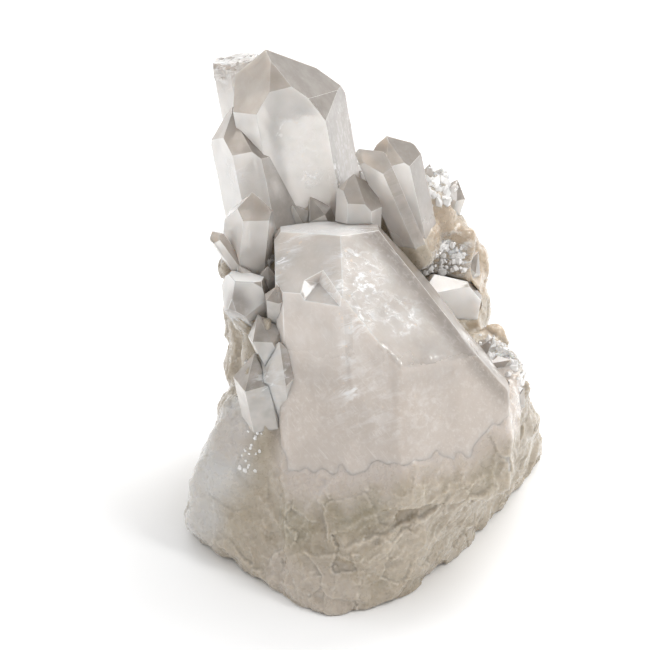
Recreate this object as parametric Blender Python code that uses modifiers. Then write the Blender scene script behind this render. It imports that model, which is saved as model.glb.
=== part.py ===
"""A quartz crystal cluster: clear crystals standing on a broken base of milky quartz.

Everything is written in millimetres and turned into metres when a mesh is made. +X is right,
+Y is back and +Z is up. The origin is on the resting plane, under the middle of the cluster.

A crystal is a hexagonal prism with six tip faces, each above a side face and leaning in at the
angle that quartz always has. Only how far each face lies from the crystal's axis differs, which
gives each tip its own shape. The crystals that grew into each other are one solid, and each
group stands in a socket of the base.
"""

import math
import random

import bmesh
import bpy
from mathutils import Matrix, Vector, noise

MM = 0.001
TIP_FACE_ANGLE = math.radians(51.8)  # between a tip face's normal and the crystal's axis
GAP = 0.3  # left between two crystals that meet, and between a crystal and its socket
BLANK = 400.0  # side of the cube that each solid is cut from
COLLECTION = "quartz_crystal_cluster"
CLEAR = dict(name="clear_quartz", colour=(0.78, 0.75, 0.71), roughness=0.06, transmission=0.9)
MILKY = dict(name="milky_quartz", colour=(0.66, 0.62, 0.56), roughness=0.4, transmission=0.15)

# Each crystal: apex, lean from the vertical and heading of that lean in degrees (0 is +X, 90 is
# +Y), spin of side face 0 in degrees, length down from the apex, the distances of the six side
# faces from the axis, and how far above the apex each tip face crosses the axis. Faces run
# anticlockwise seen from the tip. A flat top lies that far above the apex. Chips are narrow extra
# side faces, each with its angle from side face 0 and its distance from the axis. Breaks are
# planes through the apex, given with the heading and the rise of their normals.
FRONT = (
    dict(apex=(18.6, 3.0, 86.5), lean=19, heading=95, spin=241, length=52,
         sides=(30.3, 30.4, 30.9, 14, 20, 32.6), tips=(28.8, 10.5, 0, 6, 34, 44), flat_top=4.8,
         chips=((-30, 35.2),)),
)
LEFT_LOWER = (
    dict(apex=(-24.7, -14, 84), lean=38, heading=241, spin=180, length=20,
         sides=(6.2, 6.6, 6.4, 6.2, 6.4, 6.6), tips=(0, 3, 0.5, 3, 0, 3)),
)
LEFT_UPPER = (
    dict(apex=(-20.8, 3.7, 101), lean=6, heading=29, spin=285, length=24,
         sides=(6.7, 7.0, 7, 7, 5.6, 6.0), tips=(4, 6, 1, 0, 0.5, 8)),
    dict(apex=(-31.0, -3, 93.5), lean=32, heading=180, spin=270, length=14,
         sides=(2.0, 1.8, 2.0, 1.8, 2.0, 2.0), tips=(0, 1, 0, 1.4, 0, 1)),
)
TALL = (
    dict(apex=(-11.5, 40.0, 120.6), lean=14, heading=135, spin=287, length=60,
         sides=(14.8, 12.5, 18.5, 14, 12.1, 18.9), tips=(18.9, 7.4, 12, 3, 23, 18.7)),
    dict(apex=(-22.6, 33.2, 110.9), lean=28, heading=115, spin=263, length=34,
         sides=(12, 9.9, 11, 11, 11.4, 8.9), tips=(5.1, 0, 6, 3, 8, 6.4)),
    dict(apex=(-25.2, 49, 120), lean=14, heading=135, spin=287, length=55,
         sides=(6.5, 6, 6.5, 6, 6, 6.5), tips=(9, 9, 8, 7, 9, 8), flat_top=1.0),
)
MIDDLE = (
    dict(apex=(19.1, 28.2, 106.2), lean=15, heading=145, spin=279, length=36,
         sides=(6.9, 5.4, 6.6, 6, 6, 5.8), tips=(3.3, 0, 4, 0.6, 5, 3.6)),
    dict(apex=(12.8, 20.5, 105.3), lean=24, heading=161, spin=252, length=36,
         sides=(3.6, 4.2, 3.8, 4, 4, 4.1), tips=(3.7, 0, 3, 2, 5, 6.9)),
    dict(apex=(9.8, 15.6, 99.4), lean=12, heading=78, spin=270, length=30,
         sides=(5.5, 5.7, 5.5, 5.5, 5.6, 5.6), tips=(1.8, 0, 3, 2, 4, 4.9)),
)
RIGHT = (
    dict(apex=(32.1, 20, 67.0), lean=8, heading=2, spin=294, length=26,
         sides=(2.6, 13.5, 14, 12, 8, 9), tips=(0, 8.6, 9, 4, 0.5, 3),
         breaks=((69, 56),)),
)

# The broken base. The front lobe spreads from the foot of the front crystal, from this far down
# its axis and this far inside its faces, to the outline where it meets the ground. The left lobe
# is the hull of its own points.
LOBE_TOP, LOBE_INSET = 46, 1.3
FRONT_LOBE = (
    (-14, -40, 0), (-8, -49, 0), (2, -53, 0), (14, -51, 0), (22, -45, 0), (30, -33, 0),
    (36, -18, 0), (45, -5, 0), (56, 11, 0), (65, 31, 0), (52, 40, 0), (-10, 20, 0),
    (-11, -46, 12), (3, -51, 14), (16, -50, 22), (56, -5, 46), (54, -4, 53), (64, 27, 10),
    (50, 20, 52),
)
LEFT_LOBE = (
    (-39, -8, 0), (-36, -18, 0), (-24, -30, 0), (-14, -40, 0), (-6, -48, 0), (-37, 12, 0),
    (0, 10, 0), (-39, -21, 9), (-37, -19, 24), (-33, -16, 35), (-27, -12, 45), (-20, -6, 50),
    (-12, -20, 52), (-8, -27, 44), (-6, -40, 20), (-27, 8, 33), (-22, 9, 44), (-13, -40, 14),
)
# The other lumps of rock: centre, half sizes, tilt about the lump's long side and turn about the
# vertical, in degrees.
LUMPS = (
    ((31, 3, 8), (45, 17, 15), 0, 60),
    ((42, 6, 28), (12, 18, 24), 0, 0),
    ((35, 35, 34), (12, 12, 42), 0, 0),
    ((12, 36, 40), (29, 13, 48), 0, -6),
    ((25, 38, 75), (10, 9, 12), 0, 0),
    ((-10, 24, 38), (17, 18, 50), 0, 0),
    ((-12, 4, 48), (11, 13, 26), 0, 0),
    ((6, 4, 20), (26, 26, 24), 0, 0),
)
LUMP_CUTS = 16  # planes that break the corners of each lump
VOXEL = 1.6  # the grid on which the lumps are merged
BASE_FACES = 5200  # triangles that the broken surface is brought down to
LEDGE = 9.0  # size of the flat breaks in the rock
LEDGE_SLOPE = 0.16  # how far each flat break is tilted from the lump's surface
LEDGE_STEP = 1.0  # how far a flat break stands in or out
SWELL, SWELL_SIZE = 1.3, 15.0  # height and size of the rock's slow swells

# Small crystals that stand on the base: tip, lean, heading, half width and length.
SMALL = (
    ((-15.7, -6, 84.2), 12, 280, 1.8, 12),
    ((-13.2, -16, 83.5), 14, 260, 2.6, 14),
    ((-24, -5, 84), 20, 200, 2.4, 12),
    ((-18.5, -15, 74), 30, 150, 4.5, 18),
    ((-12.3, -22, 68.4), 18, 240, 4.0, 26),
    ((-19, -19, 64), 10, 190, 5.0, 24),
    ((-25, -12, 46), 50, 215, 2.4, 12),
    ((-4.2, 18, 93.1), 20, 200, 3.6, 16),
    ((-9.0, 16, 91.5), 26, 230, 3.0, 14),
    ((47.5, 4, 55.5), 30, 320, 2.6, 12),
    ((52, -4, 53), 34, 330, 3.0, 14),
    ((56, -6, 45), 44, 330, 3.2, 14),
    ((30, 44, 90), 16, 60, 3.4, 16),
    ((38, 42, 86), 24, 40, 3.0, 14),
    ((10, 50, 88), 20, 90, 4.2, 18),
    ((0, 52, 80), 36, 100, 3.4, 16),
    ((44, 30, 69), 34, 20, 3.0, 12),
    ((40, 50, 60), 55, 60, 4.0, 16),
    ((-18, 50, 60), 60, 110, 4.2, 18),
    ((-24, 42, 46), 60, 140, 3.6, 16),
)


def cut(mesh, point, outward):
    """Keeps the side of a plane that its outward normal points away from, and closes the cut."""
    found = bmesh.ops.bisect_plane(
        mesh, geom=mesh.verts[:] + mesh.edges[:] + mesh.faces[:], dist=1e-5,
        plane_co=point, plane_no=outward, clear_outer=True)
    rim = [item for item in found["geom_cut"] if isinstance(item, bmesh.types.BMEdge)]
    if rim:
        bmesh.ops.edgeloop_fill(mesh, edges=rim)


def crystal_turn(lean, heading, spin):
    """The rotation that leans a crystal towards its heading, after it is spun on its axis."""
    across = Vector((-math.sin(math.radians(heading)), math.cos(math.radians(heading)), 0))
    return (Matrix.Rotation(math.radians(lean), 3, across)
            @ Matrix.Rotation(math.radians(spin), 3, "Z"))


def crystal_mesh(apex, lean, heading, spin, length, sides, tips, flat_top=None, chips=(),
                 breaks=(), grow=0.0):
    """A closed crystal as a bmesh, in millimetres. Grow moves every face out."""
    mesh = bmesh.new()
    bmesh.ops.create_cube(mesh, size=BLANK)
    turn = crystal_turn(lean, heading, spin)
    axis = turn @ Vector((0, 0, 1))
    apex = Vector(apex)
    bmesh.ops.transform(mesh, matrix=turn.to_4x4(), verts=mesh.verts)
    bmesh.ops.translate(mesh, vec=apex, verts=mesh.verts)
    for step, (side, tip) in enumerate(zip(sides, tips)):
        around = math.radians(60 * step)
        out = turn @ Vector((math.cos(around), math.sin(around), 0))
        cut(mesh, apex + out * (side + grow), out)
        slope = out * math.sin(TIP_FACE_ANGLE) + axis * math.cos(TIP_FACE_ANGLE)
        cut(mesh, apex + axis * tip + slope * grow, slope)
    if flat_top is not None:
        cut(mesh, apex + axis * (grow + flat_top), axis)
    for around, side in chips:
        out = turn @ Vector((math.cos(math.radians(around)), math.sin(math.radians(around)), 0))
        cut(mesh, apex + out * (side + grow), out)
    for face_heading, rise in breaks:
        level = math.cos(math.radians(rise))
        out = Vector((level * math.cos(math.radians(face_heading)),
                      level * math.sin(math.radians(face_heading)), math.sin(math.radians(rise))))
        cut(mesh, apex + out * grow, out)
    cut(mesh, apex - axis * (length + grow), -axis)
    return mesh


def small_crystal(tip, lean, heading, radius, length, seed):
    """The sizes of a small crystal, whose faces differ a little from each other."""
    chance = random.Random(seed)
    return dict(apex=tip, lean=lean, heading=heading, spin=chance.uniform(0, 60), length=length,
                sides=[radius * chance.uniform(0.85, 1.15) for _ in range(6)],
                tips=[radius * (chance.uniform(0, 0.3) + 0.6 * (step % 2)) for step in range(6)])


def lump_mesh(centre, half, tilt, turn, seed):
    """A block of rock, its corners broken off by flat cuts."""
    chance = random.Random(seed)
    mesh = bmesh.new()
    bmesh.ops.create_cube(mesh, size=2.0)
    bmesh.ops.scale(mesh, vec=half, verts=mesh.verts)
    for _ in range(LUMP_CUTS):
        out = Vector([chance.gauss(0, 1) for _ in range(3)]).normalized()
        reach = sum(abs(o * h) ** 1.5 for o, h in zip(out, half)) ** (1 / 1.5)
        cut(mesh, out * reach * chance.uniform(0.86, 1.0), out)
    placed = (Matrix.Rotation(math.radians(turn), 3, "Z")
              @ Matrix.Rotation(math.radians(tilt), 3, "X"))
    bmesh.ops.rotate(mesh, matrix=placed, verts=mesh.verts)
    bmesh.ops.translate(mesh, vec=centre, verts=mesh.verts)
    return mesh


def hull_mesh(points):
    """The smallest convex solid that holds some points."""
    mesh = bmesh.new()
    for point in points:
        mesh.verts.new(point)
    found = bmesh.ops.convex_hull(mesh, input=mesh.verts[:])
    inside = dict.fromkeys(found["geom_interior"] + found["geom_unused"])
    bmesh.ops.delete(mesh, geom=[item for item in inside if isinstance(item, bmesh.types.BMVert)],
                     context="VERTS")
    return mesh


def quartz(thing, name, colour, roughness, transmission):
    """Gives an object its own material."""
    material = bpy.data.materials.new(f"{name}_{thing.name}")
    material.use_nodes = True
    shader = material.node_tree.nodes["Principled BSDF"]
    shader.inputs["Base Color"].default_value = (*colour, 1)
    shader.inputs["Metallic"].default_value = 0
    shader.inputs["Roughness"].default_value = roughness
    shader.inputs["IOR"].default_value = 1.544
    shader.inputs["Transmission Weight"].default_value = transmission
    thing.data.materials.clear()
    thing.data.materials.append(material)


def to_object(name, mesh):
    """A bmesh in millimetres as an object in metres."""
    bmesh.ops.scale(mesh, vec=(MM, MM, MM), verts=mesh.verts)
    bmesh.ops.recalc_face_normals(mesh, faces=mesh.faces)
    data = bpy.data.meshes.new(name)
    mesh.to_mesh(data)
    mesh.free()
    made = bpy.data.objects.new(name, data)
    bpy.data.collections[COLLECTION].objects.link(made)
    return made


def settle(thing):
    """Replaces an object's mesh by what its modifiers make of it."""
    graph = bpy.context.evaluated_depsgraph_get()
    settled = bpy.data.meshes.new_from_object(thing.evaluated_get(graph))
    thing.modifiers.clear()
    thing.data = settled


def combine(thing, other, operation):
    """Joins another object to this one or cuts it away, and removes the other."""
    modifier = thing.modifiers.new("combine", "BOOLEAN")
    modifier.operation = operation
    modifier.solver = "EXACT"
    modifier.object = other
    settle(thing)
    bpy.data.objects.remove(other)


def keep_largest(thing):
    """Removes the crumbs that a cut leaves beside the main body."""
    mesh = bmesh.new()
    mesh.from_mesh(thing.data)
    left = set(mesh.faces)
    bodies = []
    while left:
        body = {left.pop()}
        edge_of = list(body)
        while edge_of:
            for edge in edge_of.pop().edges:
                for face in edge.link_faces:
                    if face in left:
                        left.discard(face)
                        body.add(face)
                        edge_of.append(face)
        bodies.append(body)
    bodies.sort(key=len)
    crumbs = [face for body in bodies[:-1] for face in body]
    bmesh.ops.delete(mesh, geom=crumbs, context="FACES")
    mesh.to_mesh(thing.data)
    mesh.free()


def crystal_group(name, group, grow=0.0):
    """One solid of the crystals that grew into each other."""
    first, *others = [to_object(name, crystal_mesh(**one, grow=grow)) for one in group]
    for other in others:
        combine(first, other, "UNION")
    return first


def broken_offset(point):
    """How far the rock's surface is moved: flat tilted breaks with steps between them."""
    cell = noise.voronoi(point / LEDGE)[1][0]
    tilt = (noise.cell_vector(cell * 7.3) - Vector((0.5, 0.5, 0.5))).normalized()
    return ((point / LEDGE - cell).dot(tilt) * LEDGE * LEDGE_SLOPE
            + noise.noise(cell * 5.3) * LEDGE_STEP + noise.noise(point / SWELL_SIZE) * SWELL)


def rough_base():
    """The lumps merged into one rock, with flat breaks and ledges, cut flat to rest on."""
    foot = crystal_mesh(**FRONT[0], grow=-LOBE_INSET)
    turn = crystal_turn(FRONT[0]["lean"], FRONT[0]["heading"], FRONT[0]["spin"])
    axis = turn @ Vector((0, 0, 1))
    cut(foot, Vector(FRONT[0]["apex"]) - axis * LOBE_TOP, axis)
    foot_corners = [tuple(vert.co) for vert in foot.verts]
    foot.free()
    rock = to_object("milky_base", hull_mesh((*foot_corners, *FRONT_LOBE)))
    others = [to_object("left_lobe", hull_mesh(LEFT_LOBE))]
    others += [to_object("lump", lump_mesh(*lump, seed)) for seed, lump in enumerate(LUMPS)]
    for other in others:
        combine(rock, other, "UNION")
    remesh = rock.modifiers.new("merge", "REMESH")
    remesh.mode = "VOXEL"
    remesh.voxel_size = VOXEL * MM
    settle(rock)
    moved = [vert.co / MM + vert.normal * broken_offset(vert.co / MM) for vert in rock.data.vertices]
    for vert, place in zip(rock.data.vertices, moved):
        vert.co = place * MM
    reduce = rock.modifiers.new("reduce", "DECIMATE")
    reduce.ratio = BASE_FACES / (2 * len(rock.data.polygons))
    settle(rock)
    return rock


def cut_flat(rock):
    """The flat face that the cluster rests on."""
    below = bmesh.new()
    bmesh.ops.create_cube(below, size=BLANK)
    bmesh.ops.translate(below, vec=(0, 0, -BLANK / 2), verts=below.verts)
    combine(rock, to_object("below", below), "DIFFERENCE")


def main():
    for thing in list(bpy.data.objects):
        bpy.data.objects.remove(thing)
    bpy.context.scene.collection.children.link(bpy.data.collections.new(COLLECTION))
    groups = (("front_crystal", FRONT), ("left_lower_crystal", LEFT_LOWER),
              ("left_upper_crystals", LEFT_UPPER), ("tall_crystals", TALL),
              ("middle_crystals", MIDDLE), ("right_crystal", RIGHT))
    base = rough_base()
    for seed, (tip, lean, heading, radius, length) in enumerate(SMALL):
        one = small_crystal(tip, lean, heading, radius, length, seed)
        combine(base, to_object("small", crystal_mesh(**one)), "UNION")
    cut_flat(base)
    earlier = []
    for name, group in groups:
        solid = crystal_group(name, group)
        for neighbours in earlier:
            combine(solid, crystal_group("room", neighbours, grow=GAP), "DIFFERENCE")
        keep_largest(solid)
        quartz(solid, **CLEAR)
        earlier.append(group)
        combine(base, crystal_group("socket", group, grow=GAP), "DIFFERENCE")
    keep_largest(base)
    quartz(base, **MILKY)


if __name__ == "__main__":
    main()
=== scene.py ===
"""The looks of a quartz crystal cluster: clear crystals on a broken base of milky quartz.

Sizes in this file are in millimetres unless a name says otherwise, and become metres when a mesh
is made. +X is right, +Y is back and +Z is up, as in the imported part.
"""

import itertools
import math
import random

import bmesh
import bpy
import numpy as np
from mathutils import Matrix, Vector, noise


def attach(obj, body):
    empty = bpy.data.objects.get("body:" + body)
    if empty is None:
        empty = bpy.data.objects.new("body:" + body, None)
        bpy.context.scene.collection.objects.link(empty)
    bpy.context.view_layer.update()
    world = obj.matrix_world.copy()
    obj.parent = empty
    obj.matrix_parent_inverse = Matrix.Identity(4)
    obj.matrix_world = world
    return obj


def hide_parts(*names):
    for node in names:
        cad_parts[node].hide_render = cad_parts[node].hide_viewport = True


MM = 0.001
OFF = Vector((31.7, 17.3, 53.1))  # from one set of noise to another
BODY = "root"
IOR = 1.544  # quartz
UP = Vector((0, 0, 1))

# The camera looks down at the cluster from straight in front.
CAMERA_ELEVATION = 30.0
CAMERA_DISTANCE = 1000.0
CAMERA_TARGET = (0, 0, 62)
CAMERA_SENSOR, CAMERA_LENS = 36, 197.8

# The front crystal: its apex, how its axis leans, and how far its sides lie from the axis.
FRONT_APEX = Vector((18.6, 3.0, 86.5))
FRONT_LEAN, FRONT_HEADING, FRONT_SPIN = 19, 95, 241
FRONT_SIDES = (30.3, 30.4, 30.9, 14, 20, 32.6)

# The rock's colours, as light that it sends back.
ROCK_BROWN = (0.42, 0.353, 0.268)
ROCK_OLIVE = (0.38, 0.32, 0.235)
ROCK_DARK = (0.295, 0.25, 0.165)
ROCK_GREY = (0.575, 0.56, 0.54)
ROCK_PINK = (0.345, 0.287, 0.213)
ROCK_PALE = (0.62, 0.565, 0.48)
ROCK_MILK = (0.57, 0.505, 0.45)
ROCK_STAIN = (0.585, 0.47, 0.35)
# Painted light on the relief: a highlight on ridges and shade in crevices.
ROCK_RIDGE_HIGHLIGHT = (0.74, 0.69, 0.62)
ROCK_CREVICE_SHADE = (0.22, 0.185, 0.13)
# White frost flakes, which also stand for painted glints.
ROCK_FROST_AND_GLINT = (0.93, 0.94, 0.95)
ROCK_BODY, ROCK_DEPTH = (0.80, 0.72, 0.62), 25  # what white light becomes so deep in the rock

# The clear crystals: what white light becomes in them, and the colours over their own.
CLEAR_BODY = (0.86, 0.80, 0.73)
BROKEN_TOP = (0.86, 0.845, 0.83)
PALE_PATCH = (0.86, 0.84, 0.82)
# Painted shade, for bands along edges and for darker zones of the crystals.
PAINTED_SHADE_COLOUR = (0.36, 0.315, 0.275)
# Light grain, and painted glints along the growth lines.
GRAIN_AND_GLINT = (0.84, 0.81, 0.775)
VEIL = (0.93, 0.93, 0.93)
# A painted orange glint, as of a fracture that catches the light.
ORANGE_GLINT = (0.98, 0.78, 0.58)
# Worn edges, and a painted highlight along them.
WORN_EDGE_AND_HIGHLIGHT = (0.93, 0.92, 0.91)

WELD = 0.002  # vertices nearer than this are one
FLAT_ANGLE = math.radians(0.8)  # triangles that bend less than this are one face
SHARP_ANGLE = math.radians(8)  # edges that bend more than this are worn
CRISP_ANGLE = math.radians(14)  # edges that bend more than this are shaded crisp


def unit(*xyz):
    return Vector(xyz).normalized()


def crystal_turn(lean, heading, spin):
    """The rotation that leans a crystal towards its heading, after it is spun on its axis."""
    across = Vector((-math.sin(math.radians(heading)), math.cos(math.radians(heading)), 0))
    return (Matrix.Rotation(math.radians(lean), 3, across)
            @ Matrix.Rotation(math.radians(spin), 3, "Z"))


FRONT_TURN = crystal_turn(FRONT_LEAN, FRONT_HEADING, FRONT_SPIN)
FRONT_AXIS = FRONT_TURN @ UP


# ---------------------------------------------------------------- mesh helpers


def to_object(name, mesh, smooth=False):
    """A bmesh in millimetres as an object in metres."""
    bmesh.ops.scale(mesh, vec=(MM, MM, MM), verts=mesh.verts)
    data = bpy.data.meshes.new(name)
    mesh.to_mesh(data)
    mesh.free()
    data.polygons.foreach_set("use_smooth", [smooth] * len(data.polygons))
    made = bpy.data.objects.new(name, data)
    bpy.context.scene.collection.objects.link(made)
    return made


def from_node(node):
    """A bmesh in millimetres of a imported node."""
    mesh = bmesh.new()
    mesh.from_mesh(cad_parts[node].data)
    bmesh.ops.scale(mesh, vec=(1 / MM, 1 / MM, 1 / MM), verts=mesh.verts)
    bmesh.ops.remove_doubles(mesh, verts=mesh.verts, dist=WELD)
    return mesh


def whole(mesh):
    """Makes each flat face of a mesh one face again."""
    bmesh.ops.dissolve_limit(mesh, angle_limit=FLAT_ANGLE, verts=mesh.verts, edges=mesh.edges)
    return mesh


def cut(mesh, point, outward):
    """Keeps the side of a plane that its outward normal points away from, and closes the cut."""
    found = bmesh.ops.bisect_plane(
        mesh, geom=mesh.verts[:] + mesh.edges[:] + mesh.faces[:], dist=1e-4,
        plane_co=point, plane_no=outward, clear_outer=True)
    rim = [item for item in found["geom_cut"] if isinstance(item, bmesh.types.BMEdge)]
    if rim:
        bmesh.ops.edgeloop_fill(mesh, edges=rim)


def settle(thing):
    """Replaces an object's mesh by what its modifiers make of it."""
    graph = bpy.context.evaluated_depsgraph_get()
    settled = bpy.data.meshes.new_from_object(thing.evaluated_get(graph))
    thing.modifiers.clear()
    thing.data = settled


# ---------------------------------------------------------------- materials


class Nodes:
    """Short names for building a material's nodes."""

    def __init__(self, name):
        self.material = bpy.data.materials.new(name)
        self.material.use_nodes = True
        self.tree = self.material.node_tree
        self.shader = self.tree.nodes["Principled BSDF"]
        self.out = self.tree.nodes["Material Output"]
        self.place = self.tree.nodes.new("ShaderNodeTexCoord").outputs["Object"]

    def link(self, source, target):
        self.tree.links.new(source, target)

    def plain(self, **values):
        for key, value in values.items():
            self.shader.inputs[key.replace("_", " ")].default_value = value

    def feed(self, socket, value):
        if isinstance(value, bpy.types.NodeSocket):
            self.link(value, socket)
        else:
            socket.default_value = value

    def math(self, operation, a, b=0.0, clamp=False):
        node = self.tree.nodes.new("ShaderNodeMath")
        node.operation = operation
        node.use_clamp = clamp
        self.feed(node.inputs[0], a)
        self.feed(node.inputs[1], b)
        return node.outputs[0]

    def times(self, a, b):
        return self.math("MULTIPLY", a, b)

    def dot(self, vector):
        """How far a point lies along a direction, in millimetres."""
        node = self.tree.nodes.new("ShaderNodeVectorMath")
        node.operation = "DOT_PRODUCT"
        self.link(self.place, node.inputs[0])
        node.inputs[1].default_value = Vector(vector) / MM
        return node.outputs["Value"]

    def facing(self, direction):
        """The cosine between a flat face's normal and a direction of the part."""
        node = self.tree.nodes.new("ShaderNodeVectorMath")
        node.operation = "DOT_PRODUCT"
        face = self.tree.nodes.new("ShaderNodeNewGeometry")
        self.link(face.outputs["True Normal"], node.inputs[0])
        node.inputs[1].default_value = direction
        return node.outputs["Value"]

    def ramp(self, value, low, high, start=0.0, end=1.0):
        """A smooth step from start to end as the value goes from low to high."""
        node = self.tree.nodes.new("ShaderNodeMapRange")
        node.interpolation_type = "SMOOTHSTEP"
        self.feed(node.inputs["Value"], value)
        ends = {"From Min": low, "From Max": high, "To Min": start, "To Max": end}
        for key, number in ends.items():
            node.inputs[key].default_value = number
        return node.outputs["Result"]

    def noise(self, size, detail=3.0, rough=0.55, stretch=None, turn=None, warp=0.0, shift=0.0):
        """Noise whose patches are about as wide as size, in millimetres."""
        mapping = self.tree.nodes.new("ShaderNodeMapping")
        mapping.vector_type = "TEXTURE"
        self.link(self.place, mapping.inputs["Vector"])
        if turn is not None:
            mapping.inputs["Rotation"].default_value = turn
        mapping.inputs["Location"].default_value = (shift, shift, shift)
        mapping.inputs["Scale"].default_value = [size * MM * s for s in (stretch or (1, 1, 1))]
        node = self.tree.nodes.new("ShaderNodeTexNoise")
        node.inputs["Scale"].default_value = 1.0
        node.inputs["Detail"].default_value = detail
        node.inputs["Roughness"].default_value = rough
        node.inputs["Distortion"].default_value = warp
        self.link(mapping.outputs["Vector"], node.inputs["Vector"])
        return node.outputs["Fac"]

    def cracks(self, size):
        """Flat chips about as wide as size, in millimetres, each leaning its own way."""
        node = self.tree.nodes.new("ShaderNodeTexVoronoi")
        node.feature = "SMOOTH_F1"
        node.inputs["Smoothness"].default_value = 0.15
        node.inputs["Scale"].default_value = 1 / (size * MM)
        self.link(self.place, node.inputs["Vector"])
        return node.outputs["Distance"]

    def mix(self, factor, a, b):
        """A colour between a and b."""
        node = self.tree.nodes.new("ShaderNodeMix")
        node.data_type = "RGBA"
        self.feed(node.inputs["Factor"], factor)
        for socket, colour in ((node.inputs["A"], a), (node.inputs["B"], b)):
            self.feed(socket, (*colour, 1) if isinstance(colour, tuple) else colour)
        return node.outputs["Result"]

    def attribute(self, name):
        node = self.tree.nodes.new("ShaderNodeAttribute")
        node.attribute_name = name
        return node.outputs["Fac"]

    def bump(self, height, distance, strength=1.0, before=None):
        node = self.tree.nodes.new("ShaderNodeBump")
        node.inputs["Distance"].default_value = distance * MM
        node.inputs["Strength"].default_value = strength
        self.feed(node.inputs["Height"], height)
        if before is not None:
            self.link(before, node.inputs["Normal"])
        return node.outputs["Normal"]

    def absorb(self, colour, depth):
        """Plain absorption: the colour that is left of white light after that many millimetres."""
        node = self.tree.nodes.new("ShaderNodeVolumeAbsorption")
        node.inputs["Color"].default_value = (*colour, 1)
        node.inputs["Density"].default_value = 1 / (depth * MM)
        self.link(node.outputs["Volume"], self.out.inputs["Volume"])


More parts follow.
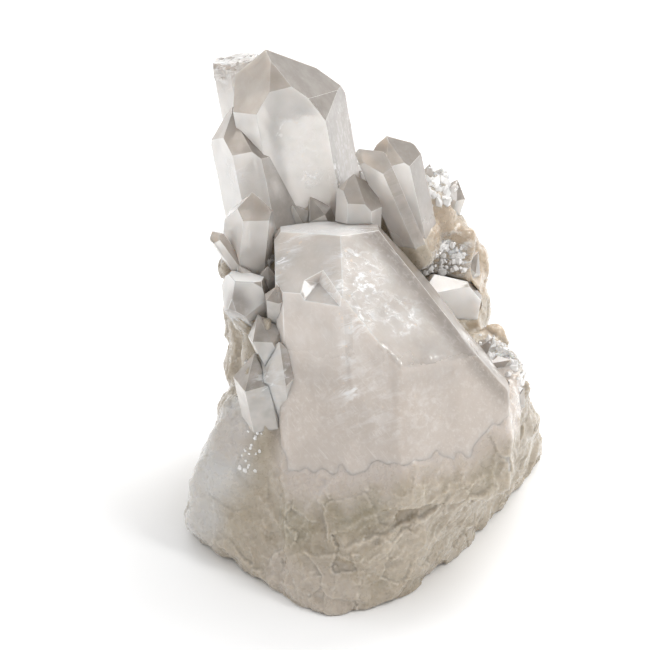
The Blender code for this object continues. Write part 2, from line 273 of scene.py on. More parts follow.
def clear_quartz(name, apex, axis, clear_length, haze=(0.35, 0.52), tip=(0.72, 0.645, 0.57),
                 side=(0.90, 0.87, 0.84), foot=(0.60, 0.54, 0.49), depth=75, cloud=12.0,
                 # by default, faces turned right and up take a dark colour as painted shade
                 scatter=3.0, shaded_side=((0.80, 0.30, 0.52), (0.22, 0.19, 0.16)), lines=None):
    """Clear quartz that clouds towards its foot, away from the apex along the axis.

    The tip faces are clearer than the side faces, which carry a white bloom, and take a darker
    colour as painted shade; flat broken tops are pale. Faces turned one given way take a given
    colour, as painted shade on that side, and lines is the way that fine growth lines run, with
    painted glints along them. The attributes rim and wisp mark worn edges, which carry a painted
    highlight, and white veils; the third attribute marks painted shade.
    """
    n = Nodes(name)
    down = n.math("SUBTRACT", Vector(apex).dot(axis), n.dot(axis))
    low = n.ramp(n.math("ADD", down, n.times(n.noise(9, 4), 14)),
                 clear_length - 6, clear_length + 22)
    slope = n.ramp(n.facing(axis), 0.25, 0.42)
    broken = n.ramp(n.facing(axis), 0.86, 0.95)
    soft = n.ramp(n.noise(cloud, 2, 0.5), 0.25, 0.75, -0.09, 0.09)
    streaks = n.noise(2.2, 6, 0.68, stretch=(1, 1, 3.6), turn=(0.5, 0.9, 0.3), warp=0.5)
    veil = n.times(n.attribute("wisp"), n.ramp(streaks, 0.45, 0.62))
    bloom = n.math("ADD", n.ramp(slope, 0, 1, haze[1], haze[0]), soft)
    # Faces turned left are made cloudier, so that their white bloom paints them lighter on that
    # side.
    bloom = n.math("ADD", bloom, n.ramp(n.facing((-1, 0, 0)), 0.3, 0.7, 0.0, 0.22))
    bloom = n.math("MAXIMUM", bloom, n.times(broken, 0.85))
    # Painted shade: faces turned one given way take a darker colour and more cloud, with fewer
    # pale patches and less grain.
    shaded_facing = n.ramp(n.facing(shaded_side[0]), 0.45, 0.85)
    bloom = n.math("MAXIMUM", bloom, n.times(shaded_facing, 0.85))
    bloom = n.math("MAXIMUM", bloom, n.times(veil, 0.9))
    cloudy = n.math("MAXIMUM", n.ramp(low, 0, 1, 0, 0.92), bloom)
    n.link(n.math("SUBTRACT", 1.0, cloudy, clamp=True), n.shader.inputs["Transmission Weight"])
    # The tip faces' darker colour, and the colour of faces turned the given way, are painted
    # shade.
    face = n.mix(shaded_facing, n.mix(slope, side, tip), shaded_side[1])
    face = n.mix(broken, face, BROKEN_TOP)
    pale = n.ramp(n.noise(cloud * 0.6, 3), 0.35, 0.70, 0.0, 0.30)
    face = n.mix(n.times(pale, n.ramp(shaded_facing, 0.0, 1.0, 1.0, 0.3)), face, PALE_PATCH)
    face = n.mix(low, face, foot)
    # Painted shade in the bands and zones marked for it.
    face = n.mix(n.times(n.attribute("shade_paint"), 0.9), face, PAINTED_SHADE_COLOUR)
    grain = n.ramp(n.noise(1.6, 5, 0.7), 0.48, 0.70, 0.0, 0.30)
    # Growth lines drawn as light streaks are painted glints.
    if lines:
        run = Vector(lines).to_track_quat("Z", "Y").to_euler()
        drawn = n.noise(0.45, 2, 0.5, stretch=(1, 1, 16), turn=run)
        grain = n.math("MAXIMUM", grain, n.ramp(drawn, 0.60, 0.72, 0.0, 0.35))
    grain = n.times(grain, n.ramp(shaded_facing, 0.0, 1.0, 1.0, 0.15))
    face = n.mix(grain, face, GRAIN_AND_GLINT)
    face = n.mix(n.times(veil, 0.8), face, VEIL)
    # Painted orange glints in the veils.
    glint_spots = n.ramp(n.noise(1.5, 3, 0.6, shift=0.3), 0.64, 0.72)
    orange_glint = n.times(n.attribute("wisp"), glint_spots)
    face = n.mix(n.times(orange_glint, 0.6), face, ORANGE_GLINT)
    # Worn edges carry a painted highlight, fading towards the foot.
    worn_and_lit_edge = n.times(n.attribute("rim"), n.ramp(low, 0, 0.5, 0.6, 0))
    n.link(n.mix(worn_and_lit_edge, face, WORN_EDGE_AND_HIGHLIGHT), n.shader.inputs["Base Color"])
    n.link(n.math("ADD", n.ramp(bloom, 0.1, 0.7, 0.06, 0.25), n.ramp(low, 0.2, 1.0, 0.0, 0.10)),
           n.shader.inputs["Roughness"])
    n.plain(IOR=IOR, Coat_Weight=0.35, Coat_Roughness=0.04, Coat_IOR=IOR,
            Subsurface_Weight=1.0 if scatter else 0.0, Subsurface_Scale=scatter * MM)
    n.shader.inputs["Subsurface Radius"].default_value = (1.0, 0.92, 0.85)
    ripple = n.bump(n.noise(0.9, 3, 0.6), 0.03, 0.30)
    chipped = n.math("MAXIMUM", veil, n.ramp(low, 0, 1, 0, 0.7))
    sparkle = n.bump(n.times(n.cracks(1.3), chipped), 0.25, 0.5, before=ripple)
    for socket in ("Normal", "Coat Normal"):
        n.link(sparkle, n.shader.inputs[socket])
    n.absorb(CLEAR_BODY, depth)
    return n.material


def milky_quartz(name):
    """Broken milky quartz, coloured by the attributes that rock() marks."""
    n = Nodes(name)
    patch = n.ramp(n.noise(16, 3, 0.6, warp=0.6), 0.38, 0.64)
    base = n.mix(patch, ROCK_BROWN, ROCK_OLIVE)
    base = n.mix(n.attribute("grey"), base, ROCK_GREY)
    base = n.mix(n.attribute("pink"), base, ROCK_PINK)
    base = n.mix(n.times(n.attribute("olive"), 0.8), base, ROCK_DARK)
    base = n.mix(n.ramp(n.attribute("tone"), 0.15, 0.85, 0.0, 0.22), base, ROCK_PALE)
    veins = n.ramp(n.noise(2.6, 6, 0.66, warp=0.5), 0.50, 0.72, 0.0, 0.20)
    base = n.mix(veins, base, ROCK_PALE)
    base = n.mix(n.attribute("white"), base, ROCK_MILK)
    # Painted highlight on ridges and painted shade in crevices.
    base = n.mix(n.times(n.attribute("ridge_highlight"), 0.25), base, ROCK_RIDGE_HIGHLIGHT)
    base = n.mix(n.times(n.attribute("crevice_shade"), 0.22), base, ROCK_CREVICE_SHADE)
    base = n.mix(n.attribute("stain"), base, ROCK_STAIN)
    # White frost flakes, also painted glints.
    flakes = n.noise(1.8, 5, 0.7, stretch=(2.4, 2.4, 0.8), warp=0.6)
    frost_and_glint = n.times(n.attribute("frost_and_glint"), n.ramp(flakes, 0.42, 0.60))
    base = n.mix(n.times(frost_and_glint, 0.85), base, ROCK_FROST_AND_GLINT)
    n.link(base, n.shader.inputs["Base Color"])
    n.link(n.ramp(n.attribute("clear"), 0, 1, 0.08, 0.22), n.shader.inputs["Transmission Weight"])
    n.link(n.ramp(n.noise(2.0, 4), 0.3, 0.7, 0.18, 0.40), n.shader.inputs["Roughness"])
    n.plain(IOR=IOR, Subsurface_Weight=1.0, Subsurface_Scale=0.0015, Coat_Weight=0.5,
            Coat_Roughness=0.12, Coat_IOR=IOR)
    n.shader.inputs["Subsurface Radius"].default_value = (1.0, 0.9, 0.75)
    frosted = n.bump(n.times(flakes, frost_and_glint), 1.2, 0.9)
    chips = n.bump(n.cracks(1.8), 0.16, 0.35, before=frosted)
    n.link(n.bump(n.noise(0.7, 4, 0.65), 0.10, 0.35, before=chips), n.shader.inputs["Normal"])
    n.absorb(ROCK_BODY, ROCK_DEPTH)
    return n.material


# ---------------------------------------------------------------- fine crystals


def sliced(mesh, turn, step):
    """Cuts a mesh along three families of planes, so that its flat faces can carry relief."""
    for axis in (turn @ Vector(unit) for unit in ((1, 0, 0), (0, 1, 0), (0, 0, 1))):
        reach = [vert.co.dot(axis) for vert in mesh.verts]
        place = min(reach) + step * 0.6
        while place < max(reach) - step * 0.3:
            bmesh.ops.bisect_plane(mesh, geom=mesh.verts[:] + mesh.edges[:] + mesh.faces[:],
                                   dist=0.01, plane_co=axis * place, plane_no=axis)
            place += step


def rimmed(mesh, bevel):
    """Rounds the sharp edges and marks the narrow faces that this makes."""
    rim = mesh.faces.layers.float.new("rim")
    sharp = [edge for edge in mesh.edges
             if edge.is_manifold and edge.calc_face_angle(0) > SHARP_ANGLE]
    made = bmesh.ops.bevel(mesh, geom=sharp, offset=bevel, offset_type="WIDTH", segments=1,
                           profile=0.5, affect="EDGES", clamp_overlap=True)
    for face in made["faces"]:
        face[rim] = 1.0


GROWTH_LINES, GROWTH_SWELLS = 0.010, 0.08  # how high they stand on a crystal's faces


def growth(point, axis):
    """Height of a crystal face at a point: growth lines across the axis and slow swells."""
    along = point.dot(axis)
    across = point - axis * along
    fine = noise.noise(across / 9 + axis * (along / 0.8))
    coarse = noise.noise(across / 7 + axis * (along / 2.1))
    return GROWTH_LINES * (fine + coarse) + GROWTH_SWELLS * noise.noise(point / 6)


def marked(mesh, name, value):
    """A float on every vertex of the mesh."""
    layer = mesh.verts.layers.float.new(name)
    for vert in mesh.verts:
        vert[layer] = value(vert.co)


def near(point, zones):
    """How much a point lies in any of the zones, each a centre, a radius and maybe a strength."""
    return max((smooth_step(size, size * 0.4, (point - Vector(centre)).length) * (most or (1,))[0]
                for centre, size, *most in zones), default=0.0)


# Painted shade lies in these bands.
def shade_band_weight(point, shade_bands):
    """How much a point lies in any of the bands, each along a plane: point, normal and width."""
    return max((smooth_step(wide, wide * 0.2, (at - point).dot(out)) for at, out, wide in shade_bands),
               default=0.0)


def finish_crystals(name, mesh, material, node=None):
    """The mesh as a piece on the part's body, smooth over its relief and crisp at its edges."""
    thing = to_object(name, mesh, smooth=True)
    thing.data.set_sharp_from_angle(angle=CRISP_ANGLE)
    thing.data.materials.append(material)
    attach(thing, BODY)
    if node:
        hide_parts(node)
    return thing


def clear_crystals(name, node, material, turn, step=1.1, bevel=0.2, shape=None, lift=None,
                   wisps=(), shade_bands=(), shade_spots=(), wear=None):
    """The crystals of one node, with worn edges and growth lines on their faces.

    The mesh is sliced every step along the axes of turn. Veils lie in the zones of wisps, and
    painted shade along the planes of bands and in the zones of shades.
    """
    mesh = whole(from_node(node))
    if shape:
        mesh = shape(mesh)
    rimmed(mesh, bevel)
    sliced(mesh, turn, step)
    if wear:
        wear(mesh)
    mesh.normal_update()
    axis = turn @ UP
    heights = [growth(vert.co, axis) + (lift(vert) if lift else 0.0) for vert in mesh.verts]
    normals = [vert.normal.copy() for vert in mesh.verts]
    marked(mesh, "wisp", lambda p: near(p, wisps))
    # Painted shade: along planes, or else in zones.
    marked(mesh, "shade_paint", lambda p: shade_band_weight(p, shade_bands) if shade_bands else near(p, shade_spots))
    for vert, normal, height in zip(mesh.verts, normals, heights):
        vert.co += normal * height
    return finish_crystals(name, mesh, material, node)


def smooth_step(low, high, value):
    """0 at low and before it, 1 at high and past it. High may be the smaller of the two."""
    t = min(1.0, max(0.0, (value - low) / (high - low)))
    return t * t * (3 - 2 * t)


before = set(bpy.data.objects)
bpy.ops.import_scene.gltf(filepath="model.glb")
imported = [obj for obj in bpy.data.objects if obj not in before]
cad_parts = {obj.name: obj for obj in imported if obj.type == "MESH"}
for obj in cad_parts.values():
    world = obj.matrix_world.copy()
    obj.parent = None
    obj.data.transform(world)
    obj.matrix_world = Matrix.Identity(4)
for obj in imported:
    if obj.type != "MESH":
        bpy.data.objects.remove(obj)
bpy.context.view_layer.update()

# ---------------------------------------------------------------- stage

FLOOR_HALF = 3.0  # metres
FLOOR_GREYS = (0.93, 0.93, 0.93), (0.95, 0.95, 0.95)
STUDIO_SIDE = (0.1, 0.65, 0.5)  # towards the brighter side of the studio
STUDIO_LIGHT = (0.70, 1.04)  # away from that side and towards it
# The lamps: place and aim in metres, width in metres and power in watts.
LAMPS = (("back_softbox", (0.40, 0.58, 0.80), (0, 0, 0.05), 0.7, 5.2),
         ("front_softbox", (0.55, -0.25, 0.86), (0, 0, 0.06), 0.26, 2.2))


def softbox(name, place, aim, width, watts):
    """A round area lamp at a place, turned to its aim."""
    light = bpy.data.lights.new(name, "AREA")
    light.shape = "DISK"
    light.size = width
    light.energy = watts
    lamp = bpy.data.objects.new(name, light)
    lamp.location = place
    lamp.rotation_euler = (Vector(aim) - Vector(place)).to_track_quat("-Z", "Y").to_euler()
    bpy.context.scene.collection.objects.link(lamp)


def stage():
    """A plain pale floor, soft light from above and behind, and the camera."""
    data = bpy.data.meshes.new("floor")
    half = FLOOR_HALF
    data.from_pydata([(-half, -half, 0), (half, -half, 0), (half, half, 0), (-half, half, 0)], [],
                     [(0, 1, 2, 3)])
    floor = bpy.data.objects.new("floor", data)
    bpy.context.scene.collection.objects.link(floor)
    n = Nodes("pale_floor")
    n.plain(Roughness=0.8)
    n.shader.inputs["Specular IOR Level"].default_value = 0.2
    n.link(n.mix(n.noise(60, 3), *FLOOR_GREYS), n.shader.inputs["Base Color"])
    floor.data.materials.append(n.material)

    world = bpy.data.worlds.new("studio")
    bpy.context.scene.world = world
    world.use_nodes = True
    tree = world.node_tree
    background = tree.nodes["Background"]
    place = tree.nodes.new("ShaderNodeTexCoord")
    towards = tree.nodes.new("ShaderNodeVectorMath")
    towards.operation = "DOT_PRODUCT"
    towards.inputs[1].default_value = STUDIO_SIDE
    tree.links.new(place.outputs["Generated"], towards.inputs[0])
    ramp = tree.nodes.new("ShaderNodeMapRange")
    ramp.interpolation_type = "SMOOTHSTEP"
    ramp.inputs["From Min"].default_value = -0.7
    ramp.inputs["From Max"].default_value = 0.6
    ramp.inputs["To Min"].default_value, ramp.inputs["To Max"].default_value = STUDIO_LIGHT
    tree.links.new(towards.outputs["Value"], ramp.inputs["Value"])
    tree.links.new(ramp.outputs["Result"], background.inputs["Strength"])
    background.inputs["Color"].default_value = (1, 1, 1, 1)

    for values in LAMPS:
        softbox(*values)

    camera = bpy.data.cameras.new("camera")
    camera.lens = CAMERA_LENS
    camera.sensor_width = CAMERA_SENSOR
    camera.clip_start = 0.05
    camera.clip_end = 20
    eye = bpy.data.objects.new("camera", camera)
    rise = math.radians(CAMERA_ELEVATION)
    target = Vector(CAMERA_TARGET) * MM
    eye.location = target + Vector((0, -math.cos(rise), math.sin(rise))) * CAMERA_DISTANCE * MM
    eye.rotation_euler = (math.pi / 2 - rise, 0, 0)
    bpy.context.scene.collection.objects.link(eye)
    bpy.context.scene.camera = eye
    bpy.context.scene.view_settings.view_transform = "Standard"
    bpy.context.scene.view_settings.look = "None"


stage()

# ---------------------------------------------------------------- the large crystals

GLINT = unit(0.306, -0.62, 0.722)  # a face turned this way mirrors the softbox
UPRIGHT = Matrix.Identity(3)
TALL_TURN = crystal_turn(14, 135, 287)
FRONT_FOOT_COLOUR = (0.585, 0.52, 0.465)
FRONT_NODE_FOOT = 52.0  # how far down its axis the front crystal's node ends
FRONT_FOOT = 66.0  # how far down it runs on here, inside the base
FRONT_BIG_FACE = unit(0.38, -0.43, 0.81)
FRONT_LEFT_SIDE = unit(-0.49, -0.83, 0.27)
FRONT_EDGE_AT, FRONT_EDGE_OUT = Vector((32.0, -2.3, 71.3)), unit(0.77, 0.22, 0.6)
FRONT_LEFT_TIP = unit(-0.40, -0.45, 0.80)
NOTCH_LEDGE = (Vector((-8.5, -16.8, 84.0)), Vector((-0.3, -16.0, 88.6)))  # the ledge's two ends
NOTCH_DEPTH = 1.7  # how far under the tip face the step lies at the ledge
NOTCH_OUT = unit(-0.28, -0.30, 0.91)  # the way the step faces
NOTCH_LEFT, NOTCH_RIGHT = Vector((-6.4, -19.9, 82.9)), Vector((4.3, -25.3, 85.6))
NOTCH_RIGHT_OUT = unit(0.75, 0.45, -0.2)
RIGHT_GLINT_AT, RIGHT_GLINT_CUT = Vector((34.0, 19.5, 65.3)), 1.2
TALL_CORNER_OUT, TALL_CORNER_CUT = unit(0.80, -0.20, 0.56), 1.3
TALL_FRONT = unit(0.27, -0.94, 0.21)
WRINKLES = (((-10, 23, 112), 12), ((-2, 23, 106), 8))
ROUGH_TOP = (((-27, 49, 121), 13),)
WRINKLE_SLANT, WRINKLE_HEIGHT = Vector((0.5, 0.2, 0.85)), 0.34
ROUGH_HEIGHT = 0.9
SEAM_X, SEAM_WIDTH, SEAM_DEPTH = 5.6, 12.0, 0.45  # the seam down the front crystal's left side
SAME_WAY = 0.97  # the least cosine between normals of one face
FRONT_RUN = Vector((0.66, -0.45, -0.61))  # the way its big face runs down
FRONT_PILLAR = (((20.2, -38.3, 71.7), 9), ((28.5, -33.5, 70.4), 8), ((37, -28, 69.4), 8))
PILLAR_ROUNDS = 24  # how often the pillar's edges are softened
# How far down its axis each softening of the front crystal begins.
FRONT_WEAR = [16 + 1.6 * level for level in range(18)]


def carved(mesh, cutter):
    """The mesh with the cutter taken out of it."""
    thing, tool = to_object("carved", mesh), to_object("tool", cutter)
    taken = thing.modifiers.new("taken", "BOOLEAN")
    taken.operation, taken.solver, taken.object = "DIFFERENCE", "EXACT", tool
    settle(thing)
    left = bmesh.new()
    left.from_mesh(thing.data)
    bmesh.ops.scale(left, vec=(1 / MM, 1 / MM, 1 / MM), verts=left.verts)
    bmesh.ops.remove_doubles(left, verts=left.verts, dist=WELD)
    for used in (thing, tool):
        bpy.data.objects.remove(used)
    return left


def front_shape(mesh):
    """Runs the front crystal's foot on into the base and breaks a step out of its shoulder."""
    for vert in mesh.verts:
        if (FRONT_APEX - vert.co).dot(FRONT_AXIS) > FRONT_NODE_FOOT - 1:
            vert.co -= FRONT_AXIS * (FRONT_FOOT - FRONT_NODE_FOOT)
    left, right = NOTCH_LEDGE
    downhill = (right - left).cross(FRONT_LEFT_TIP).normalized()
    downhill *= -1 if downhill.z > 0 else 1
    tool = bmesh.new()
    bmesh.ops.create_cube(tool, size=60)
    bmesh.ops.translate(tool, vec=left, verts=tool.verts)
    for point, out in ((left, -(downhill + FRONT_LEFT_TIP * 0.35).normalized()),
                       (left - FRONT_LEFT_TIP * NOTCH_DEPTH, -NOTCH_OUT),
                       (NOTCH_LEFT, -GLINT), (NOTCH_RIGHT, NOTCH_RIGHT_OUT)):
        cut(tool, point, out)
    return carved(mesh, tool)


def right_shape(mesh):
    """Turns the right crystal's broken face so that it catches the softbox."""
    cut(mesh, RIGHT_GLINT_AT - GLINT * RIGHT_GLINT_CUT, GLINT)
    return mesh


def tall_shape(mesh):
    """Takes the corner off the tallest crystal's right shoulder."""
    corner = max((vert.co for vert in mesh.verts), key=lambda place: place.dot(TALL_CORNER_OUT))
    cut(mesh, corner - TALL_CORNER_OUT * TALL_CORNER_CUT, TALL_CORNER_OUT)
    return mesh


def soften(mesh, verts, rounds=1):
    """Moves vertices half the way towards the middle of their neighbours, some rounds."""
    for _ in range(rounds):
        bmesh.ops.smooth_vert(mesh, verts=verts, factor=0.5, use_axis_x=True, use_axis_y=True,
                              use_axis_z=True)


def front_wear(mesh):
    """Softens the front crystal along its pillar, and more and more towards its foot."""
    soften(mesh, [vert for vert in mesh.verts if near(vert.co, FRONT_PILLAR) > 0.2], PILLAR_ROUNDS)
    for start in FRONT_WEAR:
        soften(mesh, [vert for vert in mesh.verts
                      if (FRONT_APEX - vert.co).dot(FRONT_AXIS) > start])


def front_lift(vert):
    """Relief of the front crystal: swells that grow downwards, lines on its big face, a seam."""
    point, normal = vert.co, vert.normal
    down = (FRONT_APEX - point).dot(FRONT_AXIS)
    height = (0.20 + 0.60 * smooth_step(15, 45, down)) * noise.noise(point / 11)
    height += (0.04 + 0.14 * smooth_step(15, 45, down)) * noise.noise(point / 3.5)
    if normal.dot(FRONT_BIG_FACE) > SAME_WAY:
        along = point.dot(FRONT_RUN)
        flat = point - FRONT_RUN * along
        height += 0.035 * noise.noise(flat / 1.3 + FRONT_RUN * (along / 30))
        height += 0.05 * noise.noise(flat / 3.7 + FRONT_RUN * (along / 45))
    if normal.dot(FRONT_LEFT_SIDE) > SAME_WAY:
        wave = 1.2 * noise.noise(Vector((0, 0, point.z / 6)))
        past = (point.x - SEAM_X - wave) / SEAM_WIDTH
        if 0 < past < 1:
            fade = smooth_step(12, 20, down) * smooth_step(44, 34, down)
            height -= SEAM_DEPTH * min(1, past * 12) * (1 - past) * fade
    return height


def tall_lift(vert):
    """Wrinkles high on the tallest crystal's front, and the rough top of the one behind it."""
    point = vert.co
    along = point.dot(WRINKLE_SLANT)
    wrinkle = near(point, WRINKLES) * vert.normal.dot(TALL_FRONT) ** 4
    lines = noise.noise((point - WRINKLE_SLANT * along) / 5 + WRINKLE_SLANT * (along / 1.7))
    rough = near(point, ROUGH_TOP) * ROUGH_HEIGHT * noise.noise(point / 2.3)
    return WRINKLE_HEIGHT * wrinkle * lines + rough


clear_crystals("tall_points", "tall_crystals",
               clear_quartz("tall_quartz", (-11.5, 40, 120.6), TALL_TURN @ UP, 42),
               TALL_TURN, 0.9, shape=tall_shape, lift=tall_lift,
               wisps=(((-4, 21.5, 98), 5, 1.0), ((3.5, 24, 96.5), 5, 1.0),
                      ((-8, 22, 110), 13, 0.6), ((-24, 20, 100), 8, 0.8),
                      ((-27, 49, 121), 13, 0.9), ((5, 38, 100), 16, 0.2)),
               # painted shade on the tallest crystal's right face and on the rough top behind it
               shade_spots=(((-27, 49, 121), 14, 0.5), ((9, 37, 100), 14, 0.6)))
clear_crystals("middle_points", "middle_crystals",
               clear_quartz("middle_quartz", (19, 28, 106), UP, 22), UPRIGHT)
clear_crystals("left_upper_point", "left_upper_crystals",
               clear_quartz("left_upper_quartz", (-20, 4, 101), UP, 20), UPRIGHT)
clear_crystals("left_lower_point", "left_lower_crystal",
               clear_quartz("left_lower_quartz", (-24, -14, 84), UP, 16), UPRIGHT,
               # painted shade on the left facet
               shade_spots=(((-25, -17, 77), 7, 0.7),))
clear_crystals("right_point", "right_crystal",
               clear_quartz("right_quartz", (32, 20, 67), UP, 20, (0.6, 0.85),
                            side=(0.89, 0.875, 0.86)),
               UPRIGHT, shape=right_shape)
clear_crystals("front_point", "front_crystal",
               clear_quartz("front_quartz", FRONT_APEX, FRONT_AXIS, 26, (0.62, 0.84),
                            (0.73, 0.67, 0.615), (0.69, 0.63, 0.58), FRONT_FOOT_COLOUR, 90,
                            # faces turned right take the milky colour as painted shade
                            shaded_side=((1, 0, 0), ROCK_MILK), lines=FRONT_RUN),
               FRONT_TURN, 1.1, shape=front_shape, lift=front_lift,
               wisps=(((8, -18, 87), 13, 1.0), ((20, -24, 78), 9, 0.9), ((10, -36, 60), 18, 0.25),
                      ((24, -41, 58), 14, 0.22), ((5.6, -28, 80), 4, 0.8),
                      ((5.6, -31, 71), 4, 1.0), ((6.5, -34, 62), 5, 0.9), ((-6, 0, 91), 9, 0.8),
                      ((8, 0, 91), 9, 0.8), ((-13, -9, 86), 6, 1.0), ((-13, -13, 80), 6, 0.9),
                      ((46, -16, 58), 6, 0.9), ((9, -28, 80), 7, 0.9), ((-9, -4, 89.5), 6, 0.9)),
               # painted shade in a band inside the edge of the big face
               shade_bands=((FRONT_EDGE_AT, FRONT_EDGE_OUT, 6.0),),
               wear=front_wear)

# ---------------------------------------------------------------- small crystals on the base

# Tip, lean, heading, half width and length, as in the part or within some millimetres of it.
SMALL = (
    ((-15.7, -6, 84.2), 12, 280, 1.8, 12), ((-13.2, -16, 83.5), 14, 260, 2.6, 14),
    ((-24, -5, 84), 20, 200, 2.4, 12), ((-18.5, -15, 74), 30, 150, 4.5, 18),
    ((-12.5, -22.4, 69.6), 12, 255, 6.0, 26), ((-19.4, -19, 64), 10, 190, 6.0, 22),
    ((-25, -12, 46), 50, 215, 2.4, 12), ((-4.2, 18, 93.1), 20, 200, 3.6, 16),
    ((-9.0, 16, 91.5), 26, 230, 3.0, 14), ((47.5, 4, 55.5), 30, 320, 2.6, 12),
    ((52, -4, 53), 34, 330, 3.0, 14), ((56, -6, 45), 44, 330, 3.2, 14),
    ((30, 44, 90), 16, 60, 3.4, 16), ((38, 42, 86), 24, 40, 3.0, 14),
    ((10, 50, 88), 20, 90, 4.2, 18), ((0, 52, 80), 36, 100, 3.4, 16),
    ((44, 30, 69), 34, 20, 3.0, 12), ((40, 50, 60), 55, 60, 4.0, 16),
    ((-18, 50, 60), 60, 110, 4.2, 18), ((-24, 42, 46), 60, 140, 3.6, 16),
)
CLEARED_ZONES = (((-10.5, -22.5, 67), 7),)  # where the rock is drawn in beside the front crystal
CLEARED_PUSH = (3.0, 3.5, -2.0)
SMALL_VEILS = (((-12, -26, 58), 14, 0.9), ((-20, -26, 56), 9, 0.5))
SMALL_BEVEL = 0.12
SMALL_SINK = 1.0  # how far the rock draws back under a small crystal
SMALL_GROW = 0.35  # how much wider a small crystal is here, to stand clear of its softened double
TIP_RATIO = 1.27  # height of a quartz tip over the distance of a side face from the axis
CLEAR_TOP, CLEAR_LENGTH = (0, 0, 200), 400  # crystals that are as clear at their feet

# Crusts of little points: middle, half sizes, how many, least and most half width.
CRUSTS = (
    ((36, 42, 89), (14, 14, 6), 130, 0.5, 1.5),
    ((31, 23, 70), (9, 8, 4), 90, 0.4, 1.1),
    ((52, 3, 52), (8, 12, 7), 60, 0.5, 1.5),
    ((-22, -14, 60), (8, 10, 14), 24, 0.6, 1.4),
    ((-12, 2, 86), (10, 12, 6), 24, 0.6, 1.4),
    ((-22, -27, 34), (3, 4, 4), 14, 0.3, 0.7),
    ((-20, -24, 40), (3, 4, 4), 14, 0.3, 0.7),
    ((8, 46, 84), (18, 12, 10), 50, 0.6, 1.8),
)
CRUST_SLOPE = -0.1  # crusts keep off rock that faces down more than this


def add_point(mesh, tip, axis, spin, wide, long, chance):
    """Adds one six-sided crystal with a six-faced tip, its faces a little uneven."""
    turn = axis.to_track_quat("Z", "Y").to_matrix() @ Matrix.Rotation(spin, 3, "Z")
    corner = wide / math.cos(math.pi / 6)
    uneven = [chance.uniform(0.85, 1.1) for _ in range(6)]
    high = [wide * TIP_RATIO * chance.uniform(0.8, 1.35) for _ in range(6)]
    apex = mesh.verts.new(tip)
    rings = []
    for depths in (high, [long] * 6):
        ring = []
        for step, depth in enumerate(depths):
            around = step * math.pi / 3
            place = Vector((corner * uneven[step] * math.cos(around),
                            corner * uneven[step] * math.sin(around), -depth))
            ring.append(mesh.verts.new(Vector(tip) + turn @ place))
        rings.append(ring)
    upper, lower = rings
    for step in range(6):
        other = (step + 1) % 6
        mesh.faces.new((apex, upper[step], upper[other]))
        mesh.faces.new((upper[step], lower[step], lower[other], upper[other]))
    mesh.faces.new(list(reversed(lower)))


def small_crystals():
    """The small crystals that stand on the base."""
    mesh = bmesh.new()
    chance = random.Random(11)
    for tip, lean, heading, wide, long in SMALL:
        axis = crystal_turn(lean, heading, 0) @ UP
        spin = chance.uniform(0, math.pi / 3)
        add_point(mesh, tip, axis, spin, wide + SMALL_GROW, long, chance)
    rimmed(mesh, SMALL_BEVEL)
    marked(mesh, "wisp", lambda p: near(p, SMALL_VEILS))
    marked(mesh, "shade_paint", lambda p: 0.0)
    material = clear_quartz("small_quartz", CLEAR_TOP, UP, CLEAR_LENGTH, (0.35, 0.55),
                            (0.66, 0.595, 0.53), (0.85, 0.81, 0.765), cloud=5.0, depth=80,
                            scatter=1.2)
    finish_crystals("small_points", mesh, material)


def crust(rock_thing):
    """Little points that stand out of the rock in a few places, as a glittering crust."""
    mesh = bmesh.new()
    chance = random.Random(5)
    verts = rock_thing.data.vertices
    for middle, half, count, least, most in CRUSTS:
        inside = [v.index for v in verts
                  if all(abs(v.co[k] / MM - middle[k]) < half[k] for k in range(3))
                  and v.normal.z > CRUST_SLOPE]
        for index in chance.sample(inside, min(count, len(inside))):
            place, normal = verts[index].co / MM, verts[index].normal
            wide = least + (most - least) * chance.random() ** 2
            lean = Vector((chance.uniform(-1, 1), chance.uniform(-1, 1), chance.uniform(-0.4, 1)))
            axis = (normal * 1.2 + lean * 0.7 + Vector((0, 0, 0.4))).normalized()
            long = wide * chance.uniform(1.6, 2.4) + 1.0
            tip = place + axis * (wide * chance.uniform(0.7, 1.5))
            spin = chance.uniform(0, math.pi / 3)
            add_point(mesh, tip, axis, spin, wide, long, chance)
    for name in ("rim", "wisp", "shade_paint"):
        marked(mesh, name, lambda p: 0.0)
    material = clear_quartz("crust_quartz", CLEAR_TOP, UP, CLEAR_LENGTH, (0.78, 0.88),
                            (0.93, 0.92, 0.905), (0.95, 0.94, 0.93), cloud=4.0, depth=120,
                            # faces turned up take a greyer colour as painted shade
                            scatter=0, shaded_side=(UP, (0.90, 0.88, 0.86)))
    finish_crystals("crust_points", mesh, material)


# ---------------------------------------------------------------- the broken base

FINE_VOXEL = 0.62  # the grid on which base and roots become one rock
GRAIN_ROUNDS = 30  # how often the steps of that grid are smoothed
REST_HEIGHT = 0.6  # the underside, up to this height, stays flat
ROCK_TRIANGLES = 190000  # the most that the rock is left with
ROOT_OVERLAP = 0.4  # how far a root stands out past its crystal, to close the socket round it
FRONT_CUT = 40.0  # how far down its axis the rock round the front crystal begins
MILKY_LIMIT = 57.0  # how far down its axis the front crystal turns into broken rock, at its left
MILKY_SLANTS = ((0, 26, 6.5), (36, 52, 8.0))  # between two places along X, how much sooner it does
# How far the rock lies over the crystal's faces, above that limit and below it.
SINK, RISE = -1.6, 0.9
# The roots of the crystals: node, and a point on the level plane under which its root lies.
ROOTS = (("tall_crystals", (-12, 34, 74)), ("middle_crystals", (15, 22, 80)),
         ("left_upper_crystals", (-20, 4, 82)), ("left_lower_crystal", (-20, -10, 72)),
         ("right_crystal", (36, 22, 52)))
# Bowls broken out of the rock: size, how hollow, how much each leans, and which set of chances.
BREAKS = ((14.0, 0.15, 0.13, 1), (6.5, 0.18, 0.15, 2), (2.8, 0.14, 0.11, 3))
